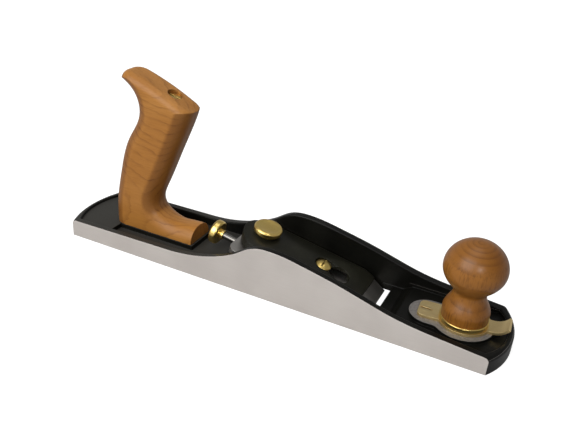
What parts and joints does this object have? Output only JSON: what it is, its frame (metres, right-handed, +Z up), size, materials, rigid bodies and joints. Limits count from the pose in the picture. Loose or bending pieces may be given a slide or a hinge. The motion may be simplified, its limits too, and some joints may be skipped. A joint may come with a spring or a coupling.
{
  "type": "low-angle jack plane",
  "caption": "Bench hand plane with a bevel-up iron on a low bed, a sliding toe that sets the mouth, a depth and lateral adjuster, a wooden rear handle and a ball knob.",
  "frame": {"origin": "middle of the sole, on the floor under the plane's mid length and mid width", "axes": "+X from heel to toe, +Y to the user's left, +Z up from the sole"},
  "size_m": [0.3536, 0.067, 0.1381],
  "materials": {
    "body_iron": "satin black paint inside, ground bare on the sole and sides",
    "plate_iron": "ground",
    "cap_iron": "satin black",
    "brass": "turned, satin",
    "steel": "turned",
    "blade_steel": "surface ground",
    "cherry": "oiled cherry, satin"
  },
  "bodies": {
    "plane_body": {"body_casting": "body_iron", "cap_screw": "brass", "lever_pivot_screw": "brass", "tote": "cherry", "tote_bolt": "steel", "tote_nut": "brass", "tote_dowel": "steel"},
    "toe": {"toe_plate": "plate_iron", "toe_stud": "steel"},
    "knob": {"front_knob": "cherry", "knob_insert": "brass", "knob_ferrule": "brass"},
    "mouth_lever": {"mouth_lever": "brass"},
    "swivel": {"adjuster_swivel": "steel"},
    "depth_wheel": {"depth_wheel": "brass", "depth_spindle": "steel", "spindle_collar": "steel"},
    "carrier": {"blade_carrier": "steel", "carrier_pin": "steel"},
    "blade": {"blade": "blade_steel"},
    "lever_cap": {"lever_cap": "cap_iron"},
    "cap_wheel": {"cap_wheel": "brass", "cap_wheel_screw": "steel"}
  },
  "joints": [
    {"name": "lateral_swing", "type": "hinge", "parent": "plane_body", "child": "swivel", "pos_m": [-0.02706, 0, 0.02243], "axis": [0.2079, 0, 0.9781], "range_deg": [-2, 2]},
    {"name": "depth_turn", "type": "hinge", "parent": "swivel", "child": "depth_wheel", "pos_m": [-0.05458, 0, 0.02235], "axis": [0.9781, 0, -0.2079], "range_deg": [-902.4, 452.6]},
    {"name": "carrier_travel", "type": "slide", "parent": "swivel", "child": "carrier", "axis": [0.9781, 0, -0.2079], "range_m": [-0.002, 0.001]},
    {"name": "blade_yaw", "type": "hinge", "parent": "carrier", "child": "blade", "pos_m": [-0.00368, 0, 0.01746], "axis": [0.2079, 0, 0.9781], "range_deg": [-3.27, 3.27]},
    {"name": "cap_release", "type": "slide", "parent": "plane_body", "child": "lever_cap", "axis": [-0.9781, 0, 0.2079], "range_m": [0, 0.0138]},
    {"name": "cap_wheel_turn", "type": "hinge", "parent": "lever_cap", "child": "cap_wheel", "pos_m": [-0.01464, 0, 0.01979], "axis": [0.2079, 0, 0.9781], "continuous": true},
    {"name": "mouth_lever_swing", "type": "hinge", "parent": "plane_body", "child": "mouth_lever", "pos_m": [0.11598, 0, 0], "axis": [0, 0, 1], "range_deg": [-12, 3]},
    {"name": "toe_slide", "type": "slide", "parent": "plane_body", "child": "toe", "axis": [1, 0, 0], "range_m": [-0.00301, 0.00076]},
    {"name": "knob_turn", "type": "hinge", "parent": "toe", "child": "knob", "pos_m": [0.14198, 0, 0], "axis": [0, 0, 1], "continuous": true}
  ],
  "couplings": [
    {"joint": "depth_turn", "follows": "carrier_travel", "rad_per_m": 7854},
    {"joint": "blade_yaw", "follows": "lateral_swing", "ratio": -1.6323},
    {"joint": "toe_slide", "follows": "mouth_lever_swing", "m_per_rad": 0.014324}
  ]
}
